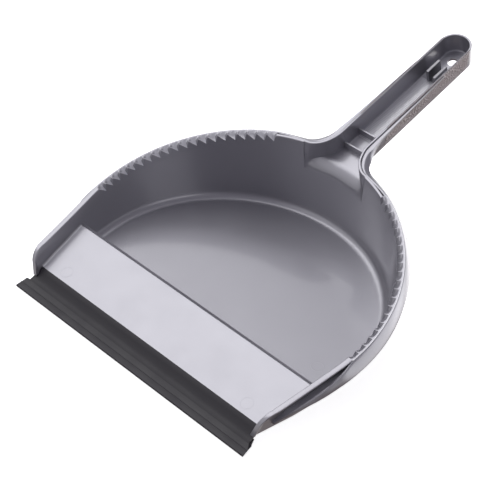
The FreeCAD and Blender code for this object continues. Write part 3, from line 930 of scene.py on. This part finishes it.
def rectangle(x0, y0, x1, y1):
    return [(x0, y0), (x1, y0), (x1, y1), (x0, y1)]


RIB_HALF = HANDLE_HALF - HANDLE_WALL - DRAFT * 9.0
RIB_THICK = 1.2
RIB_TALL = 5.2
for name, node, start in (("rib_near", "cross_rib_front", 2.2), ("rib_far", "cross_rib_rear", 17.3)):
    block(name, node, rectangle(-RIB_HALF, start, RIB_HALF, start + RIB_THICK), RIB_TALL, 0.25)

CLIP_NEAR, CLIP_FAR = 1.6, 4.0
CLIP_FRONT, CLIP_BACK = 83.2, 97.2
tall_plan = rectangle(-CLIP_FAR, CLIP_FRONT, -CLIP_NEAR, CLIP_BACK)
short_plan = rectangle(CLIP_NEAR, CLIP_FRONT, CLIP_FAR, CLIP_BACK)
block("clip_tall", "brush_clip_prong_tall", tall_plan, 9.6, 0.45, clip_plastic_painted_shade)
block("clip_short", "brush_clip_prong_short", short_plan, 6.2, 0.45, clip_plastic_painted_shade)

# ---- entry ramp ----------------------------------------------------------------------------------------


def ramp_half(distance, height):
    return side_point(distance, height, 0.0).x


ramp = Piece()
# The ramp's section, as (distance, height), with a groove in the crest.
profile = [(9.6, 1.9), (13.6, 3.6), (LIP_DEPTH, LIP_BACK_HEIGHT - 1.8), (LIP_DEPTH, LIP_BACK_HEIGHT)]
for value in spread(LIP_DEPTH, CREST_DISTANCE - 1.2, 12)[1:]:
    profile.append((value, ramp_height(value)))
profile += [(CREST_DISTANCE - 0.8, CREST_HEIGHT - 0.2), (CREST_DISTANCE - 0.5, CREST_HEIGHT - 1.1)]
profile += [(CREST_DISTANCE + 0.3, CREST_HEIGHT - 1.1), (CREST_DISTANCE + 0.5, CREST_HEIGHT - 0.6)]
profile += [(CREST_DISTANCE + 2.4, CREST_HEIGHT - 1.3)]
profile += [(RAMP_BACK, CREST_HEIGHT - 1.9), (RAMP_BACK, 0.1)]
profile += [(RAMP_BACK - 2, 0.1), (RAMP_BACK - 2, CREST_HEIGHT - 2.6)]
profile += [(LIP_DEPTH + 1, LIP_BACK_HEIGHT - 1.7), (14.0, 2.2), (9.6, 1.0)]


def ramp_point(side, inset, share, distance, height):
    """A point of the ramp's section: inset from the side wall at the edges, a share of the width between."""
    half = ramp_half(max(distance, WALL_FRONT), height)
    x = side * (half + 0.3 - inset) if side else share * (half - 4.0)
    curve = max(0.0, EDGE_CURVE - max(inset, 0.3) + 0.3) if side else 0.0
    lift = EDGE_CURVE - math.sqrt(max(EDGE_CURVE**2 - curve**2, 0.0))
    lowest = ramp_height(min(distance, CREST_DISTANCE)) - 0.9
    on_top = LIP_DEPTH - 0.1 < distance <= RAMP_BACK and height > lowest
    return Vector((x, distance, height + (lift if on_top else 0.0)))


insets = (0.3, 0.45, 0.7, 1.0, 1.4, 1.9, 2.4)
columns = [(-1, inset, 0) for inset in insets] + [(0, 0, share) for share in spread(-1, 1, 40)]
columns += [(1, inset, 0) for inset in insets[::-1]]
ramp_rows = [[ramp_point(*column, distance, height) for distance, height in profile] for column in columns]
ramp.solid(ramp_rows)
ramp.done("entry_ramp_plate", plastic, stands_for=("entry_ramp",))

# ---- rubber lip ----------------------------------------------------------------------------------------

# The lip's half width, as (distance, half width), and its section, as (distance, height).
LIP_HALF = ((0.0, 105.0), (8.2, 104.5), (8.9, 104.3), (9.1, 101.5), (13.0, 101.2), (19.2, 99.5))


def lip_half(distance):
    for (y0, x0), (y1, x1) in zip(LIP_HALF, LIP_HALF[1:]):
        if distance <= y1:
            return mix(x0, x1, (distance - y0) / (y1 - y0))
    return LIP_HALF[-1][1]


lip_top = [(0.25, 0.0), (0.0, 0.35), (0.0, 1.0), (0.3, 1.4), (3.4, 1.75), (3.8, 2.1), (4.3, 2.15)]
lip_top += [(4.7, 1.9), (8.6, 2.7), (8.95, 2.9), (9.1, 3.0), (11.0, 3.7), (13.0, 4.7), (16.0, 6.9)]
lip_top += [(18.9, 8.9), (19.2, 9.0)]
lip_low = [(19.2, 7.2), (13.6, 3.5), (9.6, 1.9), (9.6, 1.0), (14.0, 2.1), (14.4, 1.1), (9.0, 0.0)]
lip = Piece()
lip.solid(
    [
        [Vector((share * lip_half(distance), distance, height)) for distance, height in lip_top + lip_low]
        for share in spread(-1, 1, 80)
    ]
)
lip.done("rubber_lip_strip", rubber, stands_for=("rubber_lip",))

# ---- floor, light and camera ---------------------------------------------------------------------------

floor_data = bpy.data.meshes.new("stage floor")
extent = 4.0
floor_corners = [(x * extent, y * extent, 0) for x, y in ((-1, -1), (1, -1), (1, 1), (-1, 1))]
floor_data.from_pydata(floor_corners, [], [(0, 1, 2, 3)])
stage_floor = bpy.data.objects.new("stage_floor", floor_data)
bpy.context.scene.collection.objects.link(stage_floor)
stage_floor.location.z = -0.0005
stage_paint = Paint("pale floor")
stage_paint.set(Base_Color=(0.85, 0.85, 0.85, 1), Roughness=0.9)
stage_paint.set(Emission_Color=(1, 1, 1, 1), Emission_Strength=0.8)
floor_data.materials.append(stage_paint.material)
stage_floor.visible_glossy = False
stage_floor.visible_diffuse = False

world = bpy.data.worlds.new("studio")
bpy.context.scene.world = world
world.use_nodes = True
sky = world.node_tree
background = sky.nodes["Background"]
direction = sky.nodes.new("ShaderNodeTexCoord").outputs["Generated"]


def sky_node(kind, inputs, **fields):
    made = sky.nodes.new(kind)
    for field, value in fields.items():
        setattr(made, field, value)
    for key, value in inputs.items():
        if isinstance(value, bpy.types.NodeSocket):
            sky.links.new(value, made.inputs[key])
        else:
            made.inputs[key].default_value = value
    return made


# Bright patches of the sky: direction, cosines where a patch is full and where it ends, brightness, and the
# heights between which it shows.
GLOWS = (
    ((-0.507, 0.12, 0.850), 0.98, 0.80, 1.9, -1.0, 1.0),  # ramp and floor
    ((0.76, 0.62, -0.10), 0.96, 0.80, 1.35, -0.70, 0.30),  # skirt beside the comb's front end
    ((0.20, 0.95, -0.15), 0.97, 0.85, 1.20, -0.6, 0.30),  # skirt at the side
    ((-0.42, 0.73, -0.53), 0.92, 0.72, 1.30, -1.0, 0.10),  # skirt at the back and flange at the neck
    ((-0.35, -0.93, -0.10), 0.92, 0.65, 0.45, -1.0, 0.0),  # front tips of the rims
    ((-0.60, -0.65, 0.45), 0.95, 0.65, 0.50, 0.0, 0.70),  # neck and the handle's mouth
    ((0.90, -0.15, 0.34), 0.98, 0.93, 0.8, 0.1, 0.50),  # teeth
)

# Dim bands from below the pan to overhead, and the glows over them.
height_part = sky_node("ShaderNodeSeparateXYZ", {0: direction}).outputs["Z"]
level = sky_node("ShaderNodeMapRange", {"Value": height_part, "From Min": -1.0}).outputs["Result"]
bands = sky_node("ShaderNodeValToRGB", {"Fac": level})
bands.color_ramp.elements[0].position = 0.30
bands.color_ramp.elements[0].color = (0.15, 0.12, 0.118, 1)
bands.color_ramp.elements[1].position = 1.0
bands.color_ramp.elements[1].color = (0.31, 0.3, 0.34, 1)
for position, bright in ((0.47, 0.11), (0.55, 0.15), (0.80, 0.20)):
    bands.color_ramp.elements.new(position).color = (bright * 1.04, bright, bright * 1.17, 1)
glow = bands.outputs["Color"]
for way, near, far, bright, low, high in GLOWS:
    aim = Vector(way).normalized()
    facing = sky_node("ShaderNodeVectorMath", {0: direction, 1: tuple(aim)}, operation="DOT_PRODUCT")
    soft = sky_node(
        "ShaderNodeMapRange",
        {"Value": facing.outputs["Value"], "From Min": far, "From Max": near, "To Max": bright},
        interpolation_type="SMOOTHSTEP",
    ).outputs["Result"]
    above = sky_node(
        "ShaderNodeMapRange", {"Value": height_part, "From Min": low, "From Max": low + 0.25}
    ).outputs["Result"]
    below = sky_node(
        "ShaderNodeMapRange",
        {"Value": height_part, "From Min": high, "From Max": high + 0.2, "To Min": 1.0, "To Max": 0.0},
    ).outputs["Result"]
    for part in (above, below):
        soft = sky_node("ShaderNodeMath", {0: soft, 1: part}, operation="MULTIPLY").outputs[0]
    lit = sky_node("ShaderNodeMix", {"Factor": 1.0}, data_type="RGBA", blend_type="ADD")
    sky.links.new(glow, lit.inputs[6])
    sky.links.new(soft, lit.inputs[7])
    glow = lit.outputs[2]
sky.links.new(glow, background.inputs["Color"])
background.inputs["Strength"].default_value = 1.0

key = bpy.data.lights.new("key", "AREA")
key.energy = 2
key.size = 0.9
key_lamp = bpy.data.objects.new("key", key)
key_lamp.location = (-0.5, 0.35, 1.3)
key_lamp.rotation_euler = (-key_lamp.location).to_track_quat("-Z", "Y").to_euler()
key_lamp.visible_glossy = False
bpy.context.scene.collection.objects.link(key_lamp)

CAMERA_AZIMUTH = math.radians(42.39)
CAMERA_ELEVATION = math.radians(40.18)
CAMERA_ROLL = math.radians(2.70)
CAMERA_DISTANCE = 1.02622
CAMERA_TARGET = metres(Vector((-24.06, 139.56, 0.0)))
camera_data = bpy.data.cameras.new("camera")
camera_data.sensor_width = 36.0
camera_data.lens = 107.3
camera = bpy.data.objects.new("camera", camera_data)
bpy.context.scene.collection.objects.link(camera)
back = Vector(
    (
        math.sin(CAMERA_AZIMUTH) * math.cos(CAMERA_ELEVATION),
        -math.cos(CAMERA_AZIMUTH) * math.cos(CAMERA_ELEVATION),
        math.sin(CAMERA_ELEVATION),
    )
)
right = Vector((math.cos(CAMERA_AZIMUTH), math.sin(CAMERA_AZIMUTH), 0.0))
up = back.cross(right)
across = right * math.cos(CAMERA_ROLL) + up * math.sin(CAMERA_ROLL)
upward = up * math.cos(CAMERA_ROLL) - right * math.sin(CAMERA_ROLL)
camera.matrix_world = Matrix.Translation(CAMERA_TARGET + back * CAMERA_DISTANCE) @ Matrix(
    (across, upward, back)
).transposed().to_4x4()
bpy.context.scene.camera = camera
bpy.context.scene.view_settings.view_transform = "Standard"
